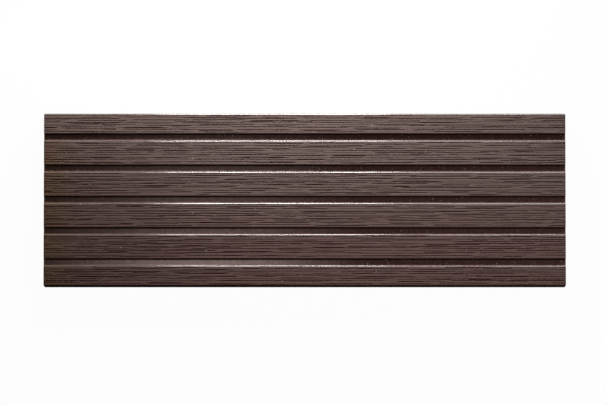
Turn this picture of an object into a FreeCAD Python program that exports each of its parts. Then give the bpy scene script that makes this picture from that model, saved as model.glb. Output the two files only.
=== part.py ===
"""Cast concrete decking board: one wet-cast slab with a slatted top.

The board lies flat with its slats up. X runs along the slats, Y across them, Z up.
The origin is the middle of the underside. All lengths are in millimetres.

The shape is where two prisms cross. One carries the slatted section along X, the other
carries the tapered side view along Y. The four sides lean in towards the top, as a slab
does that was turned out of a mould, and the rim of each end is rounded over the whole
section, slats and grooves alike.
"""

import FreeCAD
import Part

import math
import os

# Driving dimensions: the slab, measured at the underside, where it is largest
BOARD_LENGTH = 900.0
BOARD_WIDTH = 300.0
BOARD_THICKNESS = 40.0
SIDE_DRAFT_DEG = 3.0

# Driving dimensions: the grooves that part the top into slats
GROOVE_COUNT = 5
GROOVE_PITCH = 53.7
GROOVE_MOUTH = 12.0
GROOVE_DEPTH = 7.0
GROOVE_WALL_DRAFT_DEG = 15.0

# Driving dimensions: the rounded edges
SLAT_EDGE_RADIUS = 2.5
GROOVE_FLOOR_RADIUS = 1.5
END_RIM_RADIUS = 2.0

# Two points closer than this are one point
TOUCH = 1e-6

# The crossing prisms overrun each other by this much, so that no two faces coincide
OVERRUN = 20.0


def rounded_outline(corners):
    """Closed wire through (point, radius) corners, with a tangent arc at each rounded one."""
    edges = []
    first = last = None
    for index, (corner, radius) in enumerate(corners):
        back = (corners[index - 1][0] - corner).normalize()
        ahead = (corners[(index + 1) % len(corners)][0] - corner).normalize()
        if radius > 0:
            half_angle = back.getAngle(ahead) / 2
            setback = radius / math.tan(half_angle)
            start = corner + back * setback
            end = corner + ahead * setback
            bisector = (back + ahead).normalize()
            middle = corner + bisector * (radius / math.sin(half_angle) - radius)
        else:
            start = end = corner
        if last is not None:
            edges.append(Part.LineSegment(last, start).toShape())
        if radius > 0:
            edges.append(Part.Arc(start, middle, end).toShape())
        if first is None:
            first = start
        last = end
    edges.append(Part.LineSegment(last, first).toShape())
    return Part.Wire(edges)


def groove_centres():
    """Y of each groove, evenly pitched about the middle of the board."""
    return [(index - (GROOVE_COUNT - 1) / 2) * GROOVE_PITCH for index in range(GROOVE_COUNT)]


def side_lean():
    """How far a side leans in between the underside and the top."""
    return BOARD_THICKNESS * math.tan(math.radians(SIDE_DRAFT_DEG))


def slatted_section():
    """Face across the board: drafted sides, flat underside, grooves between the slats."""
    half_bottom = BOARD_WIDTH / 2
    half_top = half_bottom - side_lean()
    half_mouth = GROOVE_MOUTH / 2
    half_floor = half_mouth - GROOVE_DEPTH * math.tan(math.radians(GROOVE_WALL_DRAFT_DEG))
    floor_level = BOARD_THICKNESS - GROOVE_DEPTH

    def corner(y, z, radius):
        return FreeCAD.Vector(0, y, z), radius

    corners = [
        corner(half_bottom, 0, 0),
        corner(-half_bottom, 0, 0),
        corner(-half_top, BOARD_THICKNESS, SLAT_EDGE_RADIUS),
    ]
    for centre in groove_centres():
        corners += [
            corner(centre - half_mouth, BOARD_THICKNESS, SLAT_EDGE_RADIUS),
            corner(centre - half_floor, floor_level, GROOVE_FLOOR_RADIUS),
            corner(centre + half_floor, floor_level, GROOVE_FLOOR_RADIUS),
            corner(centre + half_mouth, BOARD_THICKNESS, SLAT_EDGE_RADIUS),
        ]
    corners.append(corner(half_top, BOARD_THICKNESS, SLAT_EDGE_RADIUS))
    return Part.Face(rounded_outline(corners))


def tapered_side_view():
    """Face along the board: the trapezium between its two drafted ends."""
    half_bottom = BOARD_LENGTH / 2
    half_top = half_bottom - side_lean()
    corners = [
        (FreeCAD.Vector(-half_bottom, 0, 0), 0),
        (FreeCAD.Vector(half_bottom, 0, 0), 0),
        (FreeCAD.Vector(half_top, 0, BOARD_THICKNESS), 0),
        (FreeCAD.Vector(-half_top, 0, BOARD_THICKNESS), 0),
    ]
    return Part.Face(rounded_outline(corners))


def centred_prism(face, direction, length):
    """Solid that carries a face along a direction, half the length each way."""
    prism = face.extrude(direction * length)
    prism.translate(direction * (-length / 2))
    return prism


def end_rim_edges(board):
    """Edges of the two end faces, all but those along the underside."""
    end_cosine = math.cos(math.radians(SIDE_DRAFT_DEG))
    rim = []
    for face in board.Faces:
        normal = face.normalAt(0, 0)
        if abs(abs(normal.x) - end_cosine) < TOUCH:
            rim += [edge for edge in face.Edges if edge.BoundBox.ZMax > TOUCH]
    return rim


def decking_board():
    """The whole slab, as one solid."""
    along = centred_prism(slatted_section(), FreeCAD.Vector(1, 0, 0), BOARD_LENGTH + OVERRUN)
    across = centred_prism(tapered_side_view(), FreeCAD.Vector(0, 1, 0), BOARD_WIDTH + OVERRUN)
    board = along.common(across)
    return board.makeFillet(END_RIM_RADIUS, end_rim_edges(board)).Solids[0]


def main():
    os.makedirs("parts", exist_ok=True)
    decking_board().exportStep("parts/decking_board.step")


main()
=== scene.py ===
"""Looks of a cast concrete decking board with a slatted, wood-grained top.

The board is one closed surface: its section is carried along its length, the rims of its ends are
rolled over, and the grain and wear of the cast skin are worked into the surface as relief. Its finish
is a through-coloured concrete. A studio with a pale floor, soft lamps and a camera overhead shows it.
"""

import logging
import math
from dataclasses import dataclass
from enum import Enum
from typing import Any

import bpy
import numpy as np
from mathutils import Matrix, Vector


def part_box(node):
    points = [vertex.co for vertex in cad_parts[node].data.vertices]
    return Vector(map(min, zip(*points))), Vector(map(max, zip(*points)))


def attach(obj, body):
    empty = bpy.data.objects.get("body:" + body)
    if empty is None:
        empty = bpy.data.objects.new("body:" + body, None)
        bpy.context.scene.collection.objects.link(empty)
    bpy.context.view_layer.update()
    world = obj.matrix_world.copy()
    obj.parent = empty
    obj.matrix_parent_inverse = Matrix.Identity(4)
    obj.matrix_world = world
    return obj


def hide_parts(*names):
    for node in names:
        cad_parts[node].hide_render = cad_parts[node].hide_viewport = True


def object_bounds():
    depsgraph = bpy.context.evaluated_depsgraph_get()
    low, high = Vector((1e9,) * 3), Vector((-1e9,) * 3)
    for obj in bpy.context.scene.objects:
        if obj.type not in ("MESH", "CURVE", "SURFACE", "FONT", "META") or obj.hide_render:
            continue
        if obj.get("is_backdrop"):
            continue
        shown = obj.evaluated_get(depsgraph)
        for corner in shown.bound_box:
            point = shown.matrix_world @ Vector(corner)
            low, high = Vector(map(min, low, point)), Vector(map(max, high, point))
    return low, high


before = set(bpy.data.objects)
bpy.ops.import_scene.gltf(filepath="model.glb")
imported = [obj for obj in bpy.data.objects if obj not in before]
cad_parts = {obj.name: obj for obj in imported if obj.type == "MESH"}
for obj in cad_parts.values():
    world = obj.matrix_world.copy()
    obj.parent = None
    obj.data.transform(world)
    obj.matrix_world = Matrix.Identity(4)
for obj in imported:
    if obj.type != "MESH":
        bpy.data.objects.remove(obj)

Array = np.ndarray
Colour = tuple[float, float, float]
Place = tuple[float, float, float]
Span = tuple[float, float]

MM = 0.001
HAIR = 1e-9
NODE = "decking_board"
BODY = "root"

log = logging.getLogger("decking_board")


def smoothstep(low: float, high: float, value: Array) -> Array:
    """Ease from 0 at low to 1 at high, as 3 t^2 - 2 t^3 of the share t between them.

    Args:
        low: Value at which the ease starts.
        high: Value at which it ends.
        value: Values to ease.

    Returns:
        The eased values, from 0 to 1.
    """
    share = np.clip((value - low) / (high - low), 0.0, 1.0)
    return share * share * (3.0 - 2.0 * share)


@dataclass(frozen=True)
class SmoothNoise:
    """Seeded noise, random at the corners of its cells and smooth between them."""

    seed: int
    cell_x: float
    cell_y: float
    period: int = 256

    def at(self, x: Array, y: Array) -> Array:
        """Noise at points: the random values at the four corners of a cell, blended by smoothstep.

        Args:
            x: Places along the first direction, in metres.
            y: Places along the second direction, in metres.

        Returns:
            Values from -1 to 1, in the shape that x and y have together.
        """
        corner = np.random.default_rng(self.seed).uniform(-1.0, 1.0, (self.period, self.period))
        column, row = np.broadcast_arrays(x / self.cell_x, y / self.cell_y)
        left, low = np.floor(column).astype(int), np.floor(row).astype(int)
        across, up = smoothstep(0.0, 1.0, column - left), smoothstep(0.0, 1.0, row - low)
        left, low = left % self.period, low % self.period
        right, high = (left + 1) % self.period, (low + 1) % self.period
        bottom = corner[left, low] * (1.0 - across) + corner[right, low] * across
        top = corner[left, high] * (1.0 - across) + corner[right, high] * across
        return bottom * (1.0 - up) + top * up


class Zone(Enum):
    """What a stretch of the section is part of."""

    SIDE = 0
    EDGE = 1
    SLAT = 2
    WALL = 3
    COVE = 4
    FLOOR = 5


@dataclass(frozen=True)
class Corner:
    """A corner of the section before it is rounded, and the zone of the straight run after it."""

    y: float
    z: float
    radius: float
    rounding: Zone
    onward: Zone


@dataclass(frozen=True)
class Chain:
    """Points along the section, each with its outward normal, length so far and zone."""

    y: Array
    z: Array
    normal_y: Array
    normal_z: Array
    run: Array
    zone: Array

    def within(self, *zones: Zone) -> Array:
        """True at the points of these zones."""
        return np.isin(self.zone, [zone.value for zone in zones])


@dataclass(frozen=True)
class SlattedSection:
    """The board's section: drafted sides, a flat underside, and grooves between the slats."""

    width: float
    thickness: float
    side_draft: float = math.radians(3.0)
    groove_count: int = 5
    groove_pitch: float = 53.7 * MM
    groove_mouth: float = 12.0 * MM
    groove_depth: float = 7.0 * MM
    wall_draft: float = math.radians(15.0)
    edge_radius: float = 2.5 * MM
    cove_radius: float = 1.5 * MM
    side_steps: int = 8
    edge_steps: int = 5
    slat_steps: int = 72
    wall_steps: int = 2
    cove_steps: int = 2
    floor_steps: int = 5
    underside_steps: int = 24

    def lean(self, height: float) -> float:
        """How far a drafted side leans in at a height above the underside."""
        return height * math.tan(self.side_draft)

    def groove_centres(self) -> Array:
        """Y of each groove, evenly pitched about the middle of the board."""
        return (np.arange(self.groove_count) - (self.groove_count - 1) / 2) * self.groove_pitch

    def steps(self, zone: Zone) -> int:
        """How many steps a stretch of a zone is divided into."""
        return getattr(self, f"{zone.name.lower()}_steps")

    def corners(self) -> list[Corner]:
        """Corners of the section from the foot of one side, over the top, to the foot of the other.

        Returns:
            The corners in order, with Y rising all the way.
        """
        half_top = self.width / 2 - self.lean(self.thickness)
        half_mouth = self.groove_mouth / 2
        half_floor = half_mouth - self.groove_depth * math.tan(self.wall_draft)
        floor = self.thickness - self.groove_depth
        corners = [
            Corner(-self.width / 2, 0.0, 0.0, Zone.SIDE, Zone.SIDE),
            Corner(-half_top, self.thickness, self.edge_radius, Zone.EDGE, Zone.SLAT),
        ]
        for centre in self.groove_centres():
            corners += [
                Corner(centre - half_mouth, self.thickness, self.edge_radius, Zone.EDGE, Zone.WALL),
                Corner(centre - half_floor, floor, self.cove_radius, Zone.COVE, Zone.FLOOR),
                Corner(centre + half_floor, floor, self.cove_radius, Zone.COVE, Zone.WALL),
                Corner(centre + half_mouth, self.thickness, self.edge_radius, Zone.EDGE, Zone.SLAT),
            ]
        corners += [
            Corner(half_top, self.thickness, self.edge_radius, Zone.EDGE, Zone.SIDE),
            Corner(self.width / 2, 0.0, 0.0, Zone.SIDE, Zone.SIDE),
        ]
        return corners

    def rounding(self, before: Array, corner: Array, after: Array, radius: float, steps: int) -> Array:
        """Tangent arc at a corner: unit vectors from its centre, turned evenly from end to end.

        Args:
            before: The corner before this one, as (y, z).
            corner: This corner.
            after: The corner after it.
            radius: Radius of the arc, or 0 for a sharp corner.
            steps: How many steps the arc is divided into.

        Returns:
            Points of the arc, or the sharp corner alone.
        """
        if radius == 0.0:
            return corner[None, :]
        back = (before - corner) / np.linalg.norm(before - corner)
        ahead = (after - corner) / np.linalg.norm(after - corner)
        half_angle = math.acos(float(back @ ahead)) / 2
        bisector = (back + ahead) / np.linalg.norm(back + ahead)
        centre = corner + bisector * radius / math.sin(half_angle)
        start = corner + back * radius / math.tan(half_angle) - centre
        end = corner + ahead * radius / math.tan(half_angle) - centre
        turn = math.pi - 2 * half_angle
        share = np.linspace(0.0, 1.0, steps + 1)[:, None]
        return centre + (np.sin((1 - share) * turn) * start + np.sin(share * turn) * end) / math.sin(turn)

    def chain(self) -> Chain:
        """Points over the top of the section, from foot to foot.

        The stretches are the rounded corners and the straight runs between them. A point's normal is
        square to the line through its two neighbours, on the left going towards +Y.

        Returns:
            The chain of points.
        """
        corners = self.corners()
        at = np.array([(corner.y, corner.z) for corner in corners])
        stretches, zones = [at[:1]], [[corners[0].rounding.value]]
        last = at[0]
        for index in range(1, len(corners)):
            corner = corners[index]
            after = at[min(index + 1, len(corners) - 1)]
            arc = self.rounding(at[index - 1], at[index], after, corner.radius, self.steps(corner.rounding))
            onward = corners[index - 1].onward
            share = np.linspace(0.0, 1.0, self.steps(onward) + 1)[1:-1, None]
            stretches += [last + (arc[0] - last) * share, arc]
            zones += [[onward.value] * len(share), [corner.rounding.value] * len(arc)]
            last = arc[-1]
        points = np.concatenate(stretches)
        tangent = np.gradient(points, axis=0)
        tangent /= np.linalg.norm(tangent, axis=1)[:, None]
        run = np.concatenate([[0.0], np.cumsum(np.linalg.norm(np.diff(points, axis=0), axis=1))])
        return Chain(points[:, 0], points[:, 1], -tangent[:, 1], tangent[:, 0], run, np.concatenate(zones))


@dataclass(frozen=True)
class GrainLines:
    """Lines of wood grain along X: lanes of dashes with pointed ends, each in a cell of its lane."""

    seed: int
    pitch: float
    dash: float
    half_width: float
    depth: float
    shortest: float
    longest: float = 1.1
    weakest: float = 0.3
    shift: float = 0.3
    wander: float = 0.5 * MM
    wander_along: float = 0.2
    wander_across: float = 30.0 * MM
    point: float = 0.15
    core: float = 0.3

    def at(self, x: Array, y: Array) -> Array:
        """Depth of the lines.

        A dash has a place across its lane, a reach along its cell and a strength, drawn at random, and
        it wanders with a slow noise. Its half width shrinks to nothing at its reach, and its depth
        runs from full in its core to none at its half width.

        Args:
            x: Places along the board.
            y: Places across it.

        Returns:
            Depth in metres, the deepest of the lanes at each place.
        """
        lanes = 2 * math.ceil(np.abs(y).max() / self.pitch) + 1
        cells = math.ceil(np.ptp(x) / self.dash) + 2
        random = np.random.default_rng(self.seed)
        start = random.uniform(0.0, 1.0, lanes)
        shift = random.uniform(-self.shift, self.shift, (lanes, cells))
        reach = random.uniform(self.shortest, self.longest, (lanes, cells))
        strength = random.uniform(self.weakest, 1.0, (lanes, cells))
        slow = SmoothNoise(self.seed + 1, self.wander_along, self.wander_across)
        deepest = np.zeros(np.broadcast_shapes(x.shape, y.shape))
        for lane in range(lanes):
            place = (x - x.min()) / self.dash + start[lane]
            cell = np.floor(place).astype(int)
            middle = (lane - lanes // 2 + shift[lane, cell]) * self.pitch
            line = middle + self.wander * slow.at(x, middle)
            taper = smoothstep(0.0, self.point, reach[lane, cell] - np.abs(2.0 * (place - cell) - 1.0))
            width = self.half_width * taper + HAIR
            across = 1.0 - smoothstep(self.core, 1.0, np.abs(y - line) / width)
            deepest = np.maximum(deepest, self.depth * strength[lane, cell] * across)
        return deepest


@dataclass(frozen=True)
class Waves:
    """Low waves in a cast face: a smooth noise, and the depth from its crests to its troughs."""

    noise: SmoothNoise
    depth: float

    def at(self, x: Array, y: Array) -> Array:
        """Depth of the waves: half their depth, plus half of it times the noise.

        Args:
            x: Places along the face.
            y: Places across it.

        Returns:
            Depth in metres.
        """
        return self.depth * (0.5 + 0.5 * self.noise.at(x, y))


@dataclass(frozen=True)
class CastRelief:
    """How deep the cast skin lies below the plain section: wood grain, worn edges and waves."""

    even: GrainLines = GrainLines(
        seed=100, pitch=4.0 * MM, dash=0.1, half_width=0.75 * MM, depth=0.9 * MM, shortest=0.85
    )
    bold: GrainLines = GrainLines(
        seed=200, pitch=7.0 * MM, dash=0.06, half_width=0.6 * MM, depth=0.9 * MM, shortest=0.4
    )
    strip: Waves = Waves(SmoothNoise(16, 0.09, 4.0 * MM), 0.05 * MM)
    swell: Waves = Waves(SmoothNoise(21, 0.11, 0.016), 0.1 * MM)
    wall: Waves = Waves(SmoothNoise(23, 0.05, 6.0 * MM), 0.25 * MM)
    floor: Waves = Waves(SmoothNoise(24, 0.04, 6.0 * MM), 0.3 * MM)
    side: Waves = Waves(SmoothNoise(25, 0.035, 0.02), 0.2 * MM)
    back: Waves = Waves(SmoothNoise(31, 0.03, 0.03), 0.3 * MM)
    nick: SmoothNoise = SmoothNoise(22, 0.06, 3.0 * MM)
    nick_depth: float = 0.2 * MM
    nick_full: float = 0.8
    edge_share: float = 0.03

    def lines(self, chain: Chain, x: Array) -> Array:
        """Depth of the grain lines of the slats.

        Args:
            chain: The section's points.
            x: Places along the board, one row for each ring and one column for each point.

        Returns:
            Depth in metres, in the shape of x, and none off the slats and their edges.
        """
        along, across = x.mean(axis=1, keepdims=True), chain.y[None, :]
        deepest = np.maximum(self.even.at(along, across), self.bold.at(along, across))
        return deepest * chain.within(Zone.SLAT, Zone.EDGE)[None, :]

    def depth(self, chain: Chain, x: Array, lines: Array) -> Array:
        """Depth of the whole skin over the top of the section.

        The slats have the grain lines and two kinds of waves, their edges a small share of that and
        the nicks of wear, and the other faces waves alone.

        Args:
            chain: The section's points.
            x: Places along the board, one row for each ring and one column for each point.
            lines: Depth of the grain lines at those places.

        Returns:
            Depth in metres, in the shape of x.
        """
        y, run = chain.y[None, :], chain.run[None, :]
        top = lines + self.strip.at(x, y) + self.swell.at(x, y)
        worn = self.nick_depth * smoothstep(0.0, self.nick_full, self.nick.at(x, run))
        faces = [
            (chain.within(Zone.SLAT), top),
            (chain.within(Zone.EDGE), self.edge_share * top + worn),
            (chain.within(Zone.WALL), self.wall.at(x, run)),
            (chain.within(Zone.COVE, Zone.FLOOR), self.floor.at(x, run)),
            (chain.within(Zone.SIDE), self.side.at(x, run)),
        ]
        depth = np.zeros(x.shape)
        for mask, values in faces:
            depth = np.where(mask[None, :], values, depth)
        return depth

    def underside(self, x: Array, y: Array) -> Array:
        """Depth of the poured back, in metres, at places along and across the board."""
        return self.back.at(x, y)


class Wire:
    """A node's output socket, with arithmetic that adds Math nodes to its sheet."""

    def __init__(self, sheet: "NodeSheet", socket: bpy.types.NodeSocket) -> None:
        """Hold a socket and the sheet that it is on."""
        self.sheet = sheet
        self.socket = socket

    def _math(self, operation: str, first: Any, second: Any) -> "Wire":
        """Output of a Math node on two values."""
        return self.sheet.node("ShaderNodeMath", {"operation": operation}, {0: first, 1: second})

    def __add__(self, other: Any) -> "Wire":
        """This plus a value."""
        return self._math("ADD", self, other)

    def __radd__(self, other: Any) -> "Wire":
        """A value plus this."""
        return self._math("ADD", other, self)

    def __sub__(self, other: Any) -> "Wire":
        """This less a value."""
        return self._math("SUBTRACT", self, other)

    def __rsub__(self, other: Any) -> "Wire":
        """A value less this."""
        return self._math("SUBTRACT", other, self)

    def __mul__(self, other: Any) -> "Wire":
        """This times a value."""
        return self._math("MULTIPLY", self, other)

    def __rmul__(self, other: Any) -> "Wire":
        """A value times this."""
        return self._math("MULTIPLY", other, self)


class NodeSheet:
    """A node tree that is filled from empty."""

    def __init__(self, tree: bpy.types.NodeTree) -> None:
        """Clear a tree and hold it."""
        self.tree = tree
        self.tree.nodes.clear()

    def node(self, kind: str, settings: dict[str, Any], sockets: dict[Any, Any], output: Any = 0) -> Wire:
        """Add a node.

        Args:
            kind: The node's type.
            settings: Its properties by name, with a ramp's stops under "stops".
            sockets: A value or Wire for each input, by name, identifier or number.
            output: Name, identifier or number of the output that is wanted.

        Returns:
            That output.
        """
        made = self.tree.nodes.new(kind)
        for name, value in settings.items():
            if name == "stops":
                self._ramp(made.color_ramp, value)
            else:
                setattr(made, name, value)
        for key, value in sockets.items():
            socket = self._find(made.inputs, key)
            if isinstance(value, Wire):
                self.tree.links.new(value.socket, socket)
            else:
                socket.default_value = value
        if not made.outputs:
            return Wire(self, None)
        return Wire(self, self._find(made.outputs, output))

    @staticmethod
    def _find(sockets: Any, key: Any) -> bpy.types.NodeSocket:
        """Find one of a node's sockets.

        Args:
            sockets: The node's inputs or outputs.
            key: The socket's number, identifier or name.

        Returns:
            That socket.
        """
        if isinstance(key, int):
            return sockets[key]
        by_identifier = [socket for socket in sockets if socket.identifier == key]
        return by_identifier[0] if by_identifier else sockets[key]

    @staticmethod
    def _ramp(ramp: bpy.types.ColorRamp, stops: list[tuple[float, float]]) -> None:
        """Set a ramp's stops.

        Args:
            ramp: The ramp.
            stops: A position and a grey level for each stop.
        """
        while len(ramp.elements) < len(stops):
            ramp.elements.new(1.0)
        for element, (position, level) in zip(ramp.elements, stops):
            element.position = position
            element.color = (level, level, level, 1.0)

    def ease(self, value: Wire, low: float, high: float) -> Wire:
        """Smooth step of a value from 0 at low to 1 at high."""
        settings = {"interpolation_type": "SMOOTHSTEP"}
        return self.node("ShaderNodeMapRange", settings, {"Value": value, "From Min": low, "From Max": high})

    def stretch(self, vector: Wire, scale: Place) -> Wire:
        """A vector times a scale along each axis."""
        return self.node("ShaderNodeVectorMath", {"operation": "MULTIPLY"}, {0: vector, 1: scale})

    def noise(self, vector: Wire, detail: float, roughness: float = 0.5) -> Wire:
        """Noise with one wave for each unit of the vector."""
        sockets = {"Vector": vector, "Scale": 1.0, "Detail": detail, "Roughness": roughness}
        return self.node("ShaderNodeTexNoise", {}, sockets)

    def blend(self, share: Any, first: Any, second: Any) -> Wire:
        """Colour between two colours.

        Args:
            share: Share of the second colour.
            first: A colour's four values, or a Wire.
            second: The other colour.

        Returns:
            The blended colour.
        """
        sockets = {"Factor_Float": share, "A_Color": first, "B_Color": second}
        return self.node("ShaderNodeMix", {"data_type": "RGBA"}, sockets, "Result_Color")


def opaque(colour: Colour) -> tuple[float, float, float, float]:
    """A colour with full alpha, as sockets take it."""
    return (*colour, 1.0)


@dataclass(frozen=True)
class BrownConcrete:
    """Through-coloured concrete from a smooth mould: satin slats with dark grain, and groove floors with
    dust and a painted reflection.

    A span is where a change runs from none to full: along X, across Y, or over a noise or a layer. A
    share is how much of a colour is laid over those before it. Waves and cells are counted per metre.
    """

    red_brown: Colour = (0.0695, 0.0360, 0.0307)
    # Greyer brown of the slats towards +Y: a painted sheen.
    grey_brown: Colour = (0.0760, 0.0509, 0.0443)
    pale_brown: Colour = (0.150, 0.104, 0.093)
    # Painted shade towards the -X end of the slats.
    damp_brown: Colour = (0.040, 0.0192, 0.0152)
    # Olive brown of the tint towards the -X end.
    olive_brown: Colour = (0.062, 0.0345, 0.0165)
    dark_floor: Colour = (0.057, 0.0286, 0.0242)
    light_floor: Colour = (0.083, 0.0418, 0.0354)
    # Dark brown: the grain lines' own colour with painted shade in them, the pits, and the painted shade of
    # the grooves.
    grain_and_shade_brown: Colour = (0.0195, 0.0044, 0.0029)
    speck: Colour = (0.30, 0.25, 0.22)
    # Pale cement dust, with a painted reflection of the lamps on the floor of the groove nearest -Y.
    dust_and_reflection: Colour = (0.52, 0.38, 0.345)

    sheen_across: Span = (-0.13, 0.07)
    end_shade_share: float = 0.45
    end_shade_along: Span = (-0.10, -0.40)
    lit_across: Span = (0.03, 0.15)
    lit_share: float = 0.8
    pale_share: float = 0.065

    mottle_waves: Place = (260.0, 90.0, 0.0)
    mottle_detail: float = 2.0
    tone_mottle: Span = (0.3, 0.7)
    dust_and_reflection_least: float = 0.4
    dust_and_reflection_gain: float = 1.2
    # Painted shade on the groove floors, darker towards +Y.
    shade_share: float = 0.45
    shade_across: Span = (0.0, 0.125)

    olive_share: float = 0.85
    olive_along: Span = (-0.38, -0.45)
    untinted_across: Span = (0.07, 0.13)
    floor_untinted: float = 0.4

    grit_waves: Place = (420.0, 420.0, 420.0)
    grit_detail: float = 3.0
    grit_roughness: float = 0.6
    pit_share: float = 0.2
    pit_grit: Span = (0.5, 0.75)
    line_share: float = 0.95
    line_relief: Span = (0.05, 0.7)
    # Share of the painted shade on the groove walls that face -Y.
    wall_shade_share: float = 0.95

    speck_cells: float = 130.0
    speck_share: float = 0.7
    speck_size: Span = (0.24, 0.12)
    floor_specks: Span = (0.5, 0.6)
    slat_specks: Span = (0.975, 0.98)
    slat_speck_share: float = 0.6

    slat_roughness: float = 0.65
    line_roughness: float = 0.3
    uneven_roughness: float = 0.2
    slat_specular: float = 0.2
    polish_roughness: float = 0.17
    polish_ior: float = 1.8
    bump_strength: float = 0.2
    bump_height: float = 0.25 * MM
    dull_relief: Span = (0.05, 0.6)

    def slat_colour(self, sheet: NodeSheet, along: Wire, across: Wire, slat: Wire) -> Wire:
        """Colour of the slats: red to greyer towards +Y as a painted sheen, painted shade towards -X, and a
        little paler on top.

        Args:
            sheet: The material's sheet.
            along: X of the place.
            across: Y of the place.
            slat: 1 on the slats, 0 elsewhere.

        Returns:
            The colour.
        """
        # Painted sheen: the slats turn greyer and lighter towards +Y.
        sheen = sheet.ease(across, *self.sheen_across)
        slats = sheet.blend(sheen, opaque(self.red_brown), opaque(self.grey_brown))
        # Painted shade: the slats darken towards -X, and less so towards +Y.
        unlit = 1.0 - self.lit_share * sheet.ease(across, *self.lit_across)
        end_shade = self.end_shade_share * sheet.ease(along, *self.end_shade_along) * unlit
        slats = sheet.blend(end_shade, slats, opaque(self.damp_brown))
        return sheet.blend(self.pale_share * slat, slats, opaque(self.pale_brown))

    def floor_colour(self, sheet: NodeSheet, place: Wire, across: Wire, dust_and_reflection: Wire) -> Wire:
        """Colour of the groove floors: two browns, dust and a painted reflection in patches over them, and
        painted shade that darkens them towards +Y.

        Args:
            sheet: The material's sheet.
            place: Object coordinates.
            across: Y of the place.
            dust_and_reflection: How much pale cement dust and painted reflection lies there.

        Returns:
            The colour.
        """
        mottle = sheet.noise(sheet.stretch(place, self.mottle_waves), self.mottle_detail)
        tone = sheet.ease(mottle, *self.tone_mottle)
        floors = sheet.blend(tone, opaque(self.dark_floor), opaque(self.light_floor))
        patches = dust_and_reflection * (self.dust_and_reflection_least + self.dust_and_reflection_gain * mottle)
        # Dust and a painted reflection in patches over the floors.
        floors = sheet.blend(patches, floors, opaque(self.dust_and_reflection))
        # Painted shade: the floors darken towards +Y, where the far walls shade them.
        shade = self.shade_share * sheet.ease(across, *self.shade_across)
        return sheet.blend(shade, floors, opaque(self.grain_and_shade_brown))

    def specks(self, sheet: NodeSheet, place: Wire, grit: Wire, floor: Wire, slat: Wire) -> Wire:
        """Share of the pale specks: small dots in cells, some on the floors and a few on the slats.

        Args:
            sheet: The material's sheet.
            place: Object coordinates.
            grit: The fine noise.
            floor: 1 on the groove floors, 0 elsewhere.
            slat: 1 on the slats, 0 elsewhere.

        Returns:
            The share, from 0 to 1.
        """
        cells = {"Vector": place, "Scale": self.speck_cells}
        dots = sheet.node("ShaderNodeTexVoronoi", {}, cells, "Distance")
        colour = sheet.node("ShaderNodeTexVoronoi", {}, cells, "Color")
        draw = sheet.node("ShaderNodeSeparateColor", {}, {0: colour})
        on_floor = floor * sheet.ease(grit, *self.floor_specks)
        on_slat = self.slat_speck_share * slat * sheet.ease(draw, *self.slat_specks)
        return sheet.ease(dots, *self.speck_size) * (on_floor + on_slat)

    def material(self) -> bpy.types.Material:
        """The finish as a material: one pigment under a satin skin on the slats and a dull one elsewhere.

        Returns:
            A material that reads Object coordinates and the piece's layers.
        """
        material = bpy.data.materials.new("brown_concrete_cast")
        material.use_nodes = True
        sheet = NodeSheet(material.node_tree)
        relief, floor, dust_and_reflection, wall_shade, polish, matte = (
            sheet.node("ShaderNodeAttribute", {"attribute_name": name}, {}, "Fac")
            for name in ("relief", "floor", "dust_and_reflection", "wall_shade", "polish", "matte")
        )
        place = sheet.node("ShaderNodeTexCoord", {}, {}, "Object")
        along = sheet.node("ShaderNodeSeparateXYZ", {}, {0: place}, "X")
        across = sheet.node("ShaderNodeSeparateXYZ", {}, {0: place}, "Y")
        grit = sheet.noise(sheet.stretch(place, self.grit_waves), self.grit_detail, self.grit_roughness)
        slat = 1.0 - matte
        uncovered = 1.0 - dust_and_reflection

        slats = self.slat_colour(sheet, along, across, slat)
        floors = self.floor_colour(sheet, place, across, dust_and_reflection)
        pigment = sheet.blend(floor, slats, floors)
        tinted = 1.0 - sheet.ease(across, *self.untinted_across)
        # An olive tint towards the -X end, weaker on the floors and fading out towards +Y.
        olive_tint = self.olive_share * sheet.ease(along, *self.olive_along) * tinted
        pigment = sheet.blend(olive_tint * (1.0 - self.floor_untinted * floor), pigment, opaque(self.olive_brown))
        pits = self.pit_share * sheet.ease(grit, *self.pit_grit) * uncovered
        # Grain lines darken with their depth: their own dark colour plus painted shade in their recesses.
        lines = self.line_share * sheet.ease(relief, *self.line_relief)
        pigment = sheet.blend(lines + pits, pigment, opaque(self.grain_and_shade_brown))
        # Painted shade on the groove walls, coves and edges that face -Y.
        pigment = sheet.blend(self.wall_shade_share * wall_shade, pigment, opaque(self.grain_and_shade_brown))
        specks = self.specks(sheet, place, grit, floor, slat) * uncovered
        pigment = sheet.blend(self.speck_share * specks, pigment, opaque(self.speck))

        rough = self.slat_roughness + self.line_roughness * relief + self.uneven_roughness * (grit - 0.5)
        bump = {"Strength": self.bump_strength, "Distance": self.bump_height, "Height": grit}
        normal = sheet.node("ShaderNodeBump", {}, bump)
        satin_skin = sheet.node(
            "ShaderNodeBsdfPrincipled",
            {},
            {
                "Base Color": pigment,
                "Roughness": rough,
                "Normal": normal,
                "Coat Weight": polish,
                "Specular IOR Level": self.slat_specular,
                "Coat Roughness": self.polish_roughness,
                "Coat IOR": self.polish_ior,
            },
        )
        dull_skin = sheet.node("ShaderNodeBsdfDiffuse", {}, {"Color": pigment, "Normal": normal})
        lined = sheet.ease(relief, *self.dull_relief)
        dull = sheet.node("ShaderNodeMath", {"operation": "MAXIMUM"}, {0: matte, 1: lined})
        shader = sheet.node("ShaderNodeMixShader", {}, {0: dull, 1: satin_skin, 2: dull_skin})
        sheet.node("ShaderNodeOutputMaterial", {}, {"Surface": shader})
        return material


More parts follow.
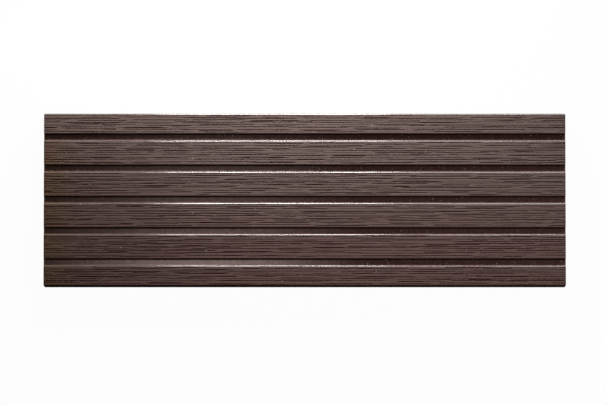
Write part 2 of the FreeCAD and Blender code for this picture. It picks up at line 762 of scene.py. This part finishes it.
@dataclass
class DeckingBoard:
    """The whole board, as one closed surface around the CAD node."""

    length: float
    section: SlattedSection
    relief: CastRelief
    finish: BrownConcrete
    rim_radius: float = 2.0 * MM
    rim_steps: int = 4
    column: float = 6.0 * MM
    sharp_angle: float = math.radians(60.0)
    full_depth: float = 0.75 * MM
    # Dust and painted reflection on each groove's floor from -Y: most in the groove nearest -Y, where it
    # paints a reflection of the lamps.
    groove_dust_and_reflection: tuple[float, ...] = (1.0, 0.40, 0.28, 0.23, 0.18)
    dust_and_reflection_least: float = 0.35
    dust_and_reflection_rise: Span = (-0.42, -0.20)
    dust_and_reflection_fall: Span = (-0.18, 0.13)
    polish_least: float = 0.5
    polish_rise: Span = (-0.44, -0.25)
    polish_tilt: float = 0.05
    # How far a face must turn to -Y for its painted shade to start and to be full.
    wall_shade_tilt: Span = (0.4, 0.9)

    @classmethod
    def around(cls, node: str) -> "DeckingBoard":
        """A board with the outer sizes of a CAD node.

        Args:
            node: Name of the node.

        Returns:
            The board.
        """
        low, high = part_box(node)
        size = high - low
        return cls(size.x, SlattedSection(size.y, size.z), CastRelief(), BrownConcrete())

    def rings(self) -> tuple[Array, Array, Array]:
        """The rings of points that the surface is carried through, from the -X end to the +X end.

        Between the rims the rings are evenly spaced. Round a rim they follow a quarter circle: a ring
        at an angle is pushed out by radius times sine, and drawn in by radius times (1 - cosine).

        Returns:
            For each ring, its share of the half length from -1 to 1, its push and its draw.
        """
        count = round(self.length / self.column) + 1
        angle = np.linspace(0.0, math.pi / 2, self.rim_steps + 1)[1:]
        push, draw = self.rim_radius * np.sin(angle), self.rim_radius * (1 - np.cos(angle))
        share = np.concatenate([-np.ones(self.rim_steps), np.linspace(-1, 1, count), np.ones(self.rim_steps)])
        pushes = np.concatenate([-push[::-1], np.zeros(count), push])
        draws = np.concatenate([draw[::-1], np.zeros(count), draw])
        return share, pushes, draws

    def surface(self, chain: Chain) -> tuple[Array, dict[str, Array]]:
        """Points of the surface, ring by ring, over the top and back along the underside.

        A point is the section's point, drawn in along its normal by the rim and by the relief. Its X
        is the ring's share of the half length there, which the drafted end shortens with height.

        Args:
            chain: The section over the top.

        Returns:
            Points as (ring, point, xyz), and the layers by name.
        """
        section = self.section
        share, push, draw = (values[:, None] for values in self.rings())
        under_y = np.linspace(section.width / 2, -section.width / 2, section.underside_steps + 1)[1:-1]
        y = np.concatenate([chain.y, under_y])[None, :]
        z = np.concatenate([chain.z, np.zeros_like(under_y)])[None, :]
        normal_y = np.concatenate([chain.normal_y, 2 * under_y / section.width])[None, :]
        normal_z = np.concatenate([chain.normal_z, np.zeros_like(under_y)])
        normal_z[[0, len(chain.y) - 1]] = 0.0
        y = y - normal_y * draw
        z = z - normal_z[None, :] * draw
        half = self.length / 2 - np.tan(section.side_draft) * z - self.rim_radius
        x = share * half + push
        over, under = slice(0, len(chain.y)), slice(len(chain.y), None)
        fade = 1.0 - draw / self.rim_radius
        lines = np.zeros(x.shape)
        lines[:, over] = self.relief.lines(chain, x[:, over])
        depth = np.zeros(x.shape)
        depth[:, over] = self.relief.depth(chain, x[:, over], lines[:, over]) * fade
        depth[:, [0, len(chain.y) - 1]] = 0.0
        depth[:, under] = -self.relief.underside(x[:, under], y[:, under]) * fade
        lift = np.concatenate([chain.normal_z, np.ones_like(under_y)])[None, :]
        sideways = np.concatenate([chain.normal_y, np.zeros_like(under_y)])[None, :]
        points = np.stack([x, y - sideways * depth, z - lift * depth], axis=2)
        return points, self.layers(chain, x, lines)

    def layers(self, chain: Chain, x: Array, lines: Array) -> dict[str, Array]:
        """What the finish needs to know at each point, from 0 to 1.

        Args:
            chain: The section over the top.
            x: Places along the board, as (ring, point).
            lines: Depth of the grain lines at those places.

        Returns:
            By name: the relief of the slats, the groove floors, the dust and painted reflection along them,
            the painted shade on the walls that face -Y, the polish that the mould left on the slat edges that
            face +Y, and the matte faces, which are all but the slats and most of their edges.
        """
        under = np.zeros(x.shape[1] - len(chain.y))
        centres = self.section.groove_centres()

        def spread(mask: Array, beneath: float = 0.0) -> Array:
            """Values of the section, repeated for every ring.

            Args:
                mask: Values over the top of the section.
                beneath: The one value of the underside and the end faces.

            Returns:
                Values as (ring, point).
            """
            rings = np.tile(np.concatenate([mask, under + beneath]), (len(x), 1))
            rings[[0, -1]] = beneath
            return rings

        edge = chain.within(Zone.EDGE)
        hollow = chain.within(Zone.EDGE, Zone.WALL, Zone.COVE)
        dull = chain.within(Zone.WALL, Zone.SIDE, Zone.COVE, Zone.FLOOR)
        outermost = chain.y < centres[0] - self.section.groove_pitch / 2
        nearest = np.abs(chain.y[:, None] - centres).argmin(axis=1)
        floors = spread(chain.within(Zone.COVE, Zone.FLOOR))
        # Painted shade on the groove walls, coves and edges that face -Y.
        wall_shade = spread(smoothstep(*self.wall_shade_tilt, -chain.normal_y) * hollow)
        # The dust and painted reflection rise from -X and fade out towards +X.
        rising_dust_and_reflection = self.dust_and_reflection_least + (1.0 - self.dust_and_reflection_least) * smoothstep(*self.dust_and_reflection_rise, x)
        dust_and_reflection_along = rising_dust_and_reflection * (1.0 - smoothstep(*self.dust_and_reflection_fall, x))
        polished = self.polish_least + (1.0 - self.polish_least) * smoothstep(*self.polish_rise, x)
        return {
            "relief": np.clip(lines * spread(chain.within(Zone.SLAT)) / self.full_depth, 0.0, 1.0),
            "floor": floors,
            "dust_and_reflection": spread(np.array(self.groove_dust_and_reflection)[nearest]) * floors * dust_and_reflection_along * (1.0 - wall_shade),
            "wall_shade": wall_shade,
            "polish": spread(edge & (chain.normal_y > self.polish_tilt)) * polished,
            "matte": spread(dull | (edge & outermost), 1.0),
        }

    @staticmethod
    def skin_faces(ring_count: int, loop_count: int) -> Array:
        """Four-sided faces between neighbouring rings, all round the loop.

        A face has a point and the next one of its ring, and the same two of the ring after it.

        Args:
            ring_count: How many rings there are.
            loop_count: How many points a ring has.

        Returns:
            The four corner numbers of each face.
        """
        start = np.arange(ring_count - 1)[:, None] * loop_count
        point = np.arange(loop_count)[None, :]
        after = (point + 1) % loop_count
        faces = [start + point, start + loop_count + point, start + loop_count + after, start + after]
        return np.stack(faces, axis=2).reshape(-1, 4)

    def end_faces(self, ring: Array, top_count: int) -> Array:
        """Triangles that close a ring, between its points over the top and those along the underside.

        Each step over the top goes to the underside point at about its Y, and each step along the
        underside goes to the point over the top where that changes.

        Args:
            ring: The ring's points.
            top_count: How many of them are over the top.

        Returns:
            Corner numbers within the ring, facing -X.
        """
        along = np.concatenate([[0], np.arange(len(ring) - 1, top_count - 1, -1), [top_count - 1]])
        share = (ring[:top_count, 1] - ring[0, 1]) / (ring[top_count - 1, 1] - ring[0, 1])
        foot = np.rint(share * (len(along) - 1)).astype(int)
        step = np.arange(top_count - 1)
        fans = np.stack([step, step + 1, along[foot[:-1]]], axis=1)
        change = step[foot[1:] > foot[:-1]]
        fills = np.stack([change + 1, along[foot[change + 1]], along[foot[change]]], axis=1)
        faces = np.concatenate([fans, fills])
        corners = np.sort(faces, axis=1)
        return faces[(np.diff(corners, axis=1) > 0).all(axis=1)]

    def build(self) -> bpy.types.Object:
        """Make the board's mesh: the skin between the rings, closed by the two end faces.

        Returns:
            The mesh object, at the origin, with the layers that its finish reads.
        """
        chain = self.section.chain()
        points, layers = self.surface(chain)
        ring_count, loop_count = points.shape[:2]
        top_count = len(chain.y)
        near = self.end_faces(points[0], top_count)
        far = self.end_faces(points[-1], top_count)[:, ::-1] + (ring_count - 1) * loop_count
        skin = self.skin_faces(ring_count, loop_count)
        mesh = bpy.data.meshes.new("decking_board_cast")
        mesh.from_pydata(points.reshape(-1, 3), [], [*skin.tolist(), *near.tolist(), *far.tolist()])
        for name, values in layers.items():
            layer = mesh.attributes.new(name, "FLOAT", "POINT")
            layer.data.foreach_set("value", values.astype(np.float32).ravel())
        mesh.polygons.foreach_set("use_smooth", np.ones(len(mesh.polygons), dtype=bool))
        mesh.set_sharp_from_angle(angle=self.sharp_angle)
        mesh.update()
        piece = bpy.data.objects.new("board_cast_skin", mesh)
        bpy.context.scene.collection.objects.link(piece)
        return piece

    def dress(self, piece: bpy.types.Object) -> None:
        """Give the piece its finish, and put it in the place of the CAD node.

        Args:
            piece: The board's mesh object.
        """
        piece.data.materials.append(self.finish.material())
        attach(piece, BODY)
        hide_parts(NODE)


@dataclass(frozen=True)
class SoftLamp:
    """A rectangular soft lamp that faces a point and isn't seen itself."""

    name: str
    place: Place
    aim: Place
    width: float
    height: float
    radiance: float

    def build(self) -> bpy.types.Object:
        """Make the lamp. An area lamp's radiance is a quarter of its energy for each unit of area.

        Returns:
            The lamp's object.
        """
        data = bpy.data.lights.new(self.name, "AREA")
        data.shape = "RECTANGLE"
        data.size, data.size_y = self.width, self.height
        data.energy = 4.0 * self.radiance * self.width * self.height
        lamp = bpy.data.objects.new(self.name, data)
        lamp.location = self.place
        towards = Vector(self.aim) - Vector(self.place)
        lamp.rotation_euler = towards.to_track_quat("-Z", "Y").to_euler()
        lamp.visible_camera = False
        bpy.context.scene.collection.objects.link(lamp)
        return lamp


@dataclass(frozen=True)
class Studio:
    """A pale floor, a dome of soft light, soft lamps and the camera overhead."""

    image_width: int = 607
    image_height: int = 405
    board_middle: tuple[float, float] = (304.7, 199.58)
    pixels_per_metre: float = 582.7
    camera_height: float = 5.0
    camera_tilt: float = math.radians(2.4)
    sensor: float = 36.0
    floor_half: float = 9.0
    floor_grey: float = 0.5
    floor_glow: float = 0.97
    zenith: float = 0.02
    horizon: float = 1.0
    horizon_band: float = 0.06
    view_end: float = 100.0
    lamps: tuple[SoftLamp, ...] = (
        SoftLamp("key_lamp", (-0.06, 0.72, 0.34), (-0.06, 0.0, 0.04), width=0.44, height=0.32, radiance=20.5),
        SoftLamp(
            "low_key_lamp", (-0.06, 0.5, 0.26), (-0.06, 0.05, 0.04), width=0.44, height=0.2, radiance=4.5
        ),
        SoftLamp("side_lamp", (0.95, 1.4, 0.8), (0.3, 0.0, 0.04), width=1.8, height=0.4, radiance=9.8),
        SoftLamp("over_lamp", (0.45, -0.1, 0.9), (0.35, -0.08, 0.0), width=0.5, height=0.5, radiance=3.3),
        SoftLamp("top_lamp", (-0.25, -0.15, 1.2), (-0.25, -0.15, 0.0), width=0.5, height=0.5, radiance=1.2),
        SoftLamp("corner_lamp", (-0.5, 0.3, 0.16), (-0.42, 0.12, 0.04), width=0.3, height=0.12, radiance=2.4),
    )

    def floor(self) -> bpy.types.Object:
        """Make the floor: a plane just under the board, pale to lamps and near white to the eye.

        Returns:
            The floor's object, which is part of the stage.
        """
        half = self.floor_half
        corner = np.array([[-1, -1, 0], [1, -1, 0], [1, 1, 0], [-1, 1, 0]]) * half
        mesh = bpy.data.meshes.new("studio_floor")
        mesh.from_pydata(corner, [], [[0, 1, 2, 3]])
        material = bpy.data.materials.new("pale_floor")
        material.use_nodes = True
        sheet = NodeSheet(material.node_tree)
        grey = opaque((self.floor_grey,) * 3)
        paint = sheet.node("ShaderNodeBsdfDiffuse", {}, {"Color": grey})
        glow = sheet.node("ShaderNodeEmission", {}, {"Color": opaque((1.0, 1.0, 1.0)), "Strength": 1.0})
        seen = [
            sheet.node("ShaderNodeLightPath", {}, {}, f"Is {ray} Ray")
            for ray in ("Camera", "Glossy", "Transmission")
        ]
        share = self.floor_glow * (seen[0] + seen[1] + seen[2])
        shader = sheet.node("ShaderNodeMixShader", {}, {0: share, 1: paint, 2: glow})
        sheet.node("ShaderNodeOutputMaterial", {}, {"Surface": shader})
        mesh.materials.append(material)
        plane = bpy.data.objects.new("studio_floor", mesh)
        bpy.context.scene.collection.objects.link(plane)
        plane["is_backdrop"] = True
        return plane

    def dome(self) -> bpy.types.World:
        """Make the world: white at the horizon, darker overhead where the camera stands.

        Returns:
            The world, which is set as the scene's.
        """
        world = bpy.data.worlds.new("studio_dome")
        world.use_nodes = True
        sheet = NodeSheet(world.node_tree)
        ray = sheet.node("ShaderNodeTexCoord", {}, {}, "Generated")
        up = sheet.node("ShaderNodeSeparateXYZ", {}, {0: ray}, "Z")
        stops = [(0.0, self.horizon), (self.horizon_band, self.zenith)]
        grey = sheet.node("ShaderNodeValToRGB", {"stops": stops}, {0: up}, "Color")
        shader = sheet.node("ShaderNodeBackground", {}, {"Color": grey, "Strength": 1.0})
        sheet.node("ShaderNodeOutputWorld", {}, {"Surface": shader})
        bpy.context.scene.world = world
        return world

    def camera(self, top: float) -> bpy.types.Object:
        """Make the camera, nearly straight overhead, with the board's middle at its place in the image.

        Args:
            top: Height of the board's top.

        Returns:
            The camera, which is set as the scene's.
        """
        across = (self.image_width / 2 - self.board_middle[0]) / self.pixels_per_metre
        up = (self.board_middle[1] - self.image_height / 2) / self.pixels_per_metre
        aim = Vector((across, up, top))
        back = Vector((0.0, -math.sin(self.camera_tilt), math.cos(self.camera_tilt)))
        data = bpy.data.cameras.new("overhead_camera")
        data.sensor_width = self.sensor
        data.lens = self.pixels_per_metre * self.camera_height * self.sensor / self.image_width
        data.clip_end = self.view_end
        camera = bpy.data.objects.new("overhead_camera", data)
        camera.location = aim + back * self.camera_height
        camera.rotation_euler = (-back).to_track_quat("-Z", "Y").to_euler()
        bpy.context.scene.collection.objects.link(camera)
        bpy.context.scene.camera = camera
        return camera

    def build(self, top: float) -> None:
        """Make the floor, the dome, the lamps and the camera.

        Args:
            top: Height of the board's top.
        """
        self.floor()
        self.dome()
        for lamp in self.lamps:
            lamp.build()
            log.info("lamp %s", lamp.name)
        self.camera(top)
        bpy.context.scene.view_settings.view_transform = "Standard"


def main() -> None:
    """Build and dress the board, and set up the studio."""
    logging.basicConfig(level=logging.INFO, format="%(name)s: %(message)s")
    cad_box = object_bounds()
    board = DeckingBoard.around(NODE)
    piece = board.build()
    board.dress(piece)
    log.info("piece %s: %d faces", piece.name, len(piece.data.polygons))
    Studio().build(cad_box[1].z)


if __name__ == "__main__":
    main()
